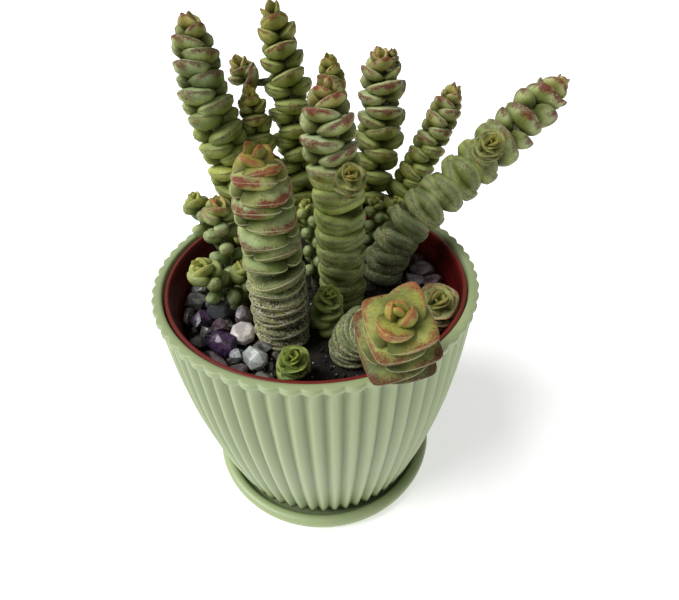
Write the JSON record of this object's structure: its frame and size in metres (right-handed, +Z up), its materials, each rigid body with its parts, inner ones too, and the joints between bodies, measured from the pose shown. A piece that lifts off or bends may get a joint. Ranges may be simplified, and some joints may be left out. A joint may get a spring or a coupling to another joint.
{
  "type": "potted succulent",
  "caption": "String-of-buttons succulent with stacked leaf pairs on upright and leaning stems, in a nursery pot inside a ribbed tapered pot on a round saucer.",
  "frame": {"origin": "centre of the saucer's flat underside, on the pot's axis", "axes": "+Z up along the pot's axis, -Y towards the side where the low rosette leans over the rim, +X to the right seen from there"},
  "size_m": [0.1492, 0.1263, 0.1855],
  "materials": {
    "sage_plastic": "satin",
    "brown_plastic": "satin",
    "dark_soil": "rough",
    "leaf_green": "satin",
    "young_leaf": "satin",
    "grey_quartz": "polished",
    "amethyst": "polished",
    "pale_crystal": "polished"
  },
  "bodies": {
    "root": {"saucer": "sage_plastic", "outer_pot": "sage_plastic", "nursery_pot": "brown_plastic", "soil": "dark_soil", "stem_left_tall": "leaf_green", "stem_back_tall": "leaf_green", "stem_left_back_slim": "leaf_green", "stem_back_hidden": "leaf_green", "stem_centre": "leaf_green", "stem_right_tall": "leaf_green", "stem_right_slim": "leaf_green", "stem_right_leaning": "leaf_green", "stem_front_thick": "leaf_green", "stem_front_rosette": "leaf_green", "shoot_front": "young_leaf", "shoot_middle": "young_leaf", "shoot_right_low": "young_leaf", "shoot_left_low": "young_leaf", "shoot_left_upper": "young_leaf", "shoot_back_middle": "young_leaf", "shoot_back_right": "young_leaf", "shoot_between": "young_leaf", "stone_1": "grey_quartz", "stone_2": "grey_quartz", "stone_3": "grey_quartz", "stone_4": "amethyst", "stone_5": "amethyst", "stone_6": "amethyst", "stone_7": "grey_quartz", "stone_8": "amethyst", "stone_9": "grey_quartz", "stone_10": "pale_crystal", "stone_11": "grey_quartz", "stone_12": "amethyst", "stone_13": "grey_quartz", "stone_14": "grey_quartz", "stone_15": "amethyst", "stone_16": "grey_quartz", "stone_17": "pale_crystal", "stone_18": "amethyst", "stone_19": "pale_crystal", "stone_20": "amethyst", "stone_bead": "pale_crystal", "stone_clear": "pale_crystal"}
  },
  "joints": []
}
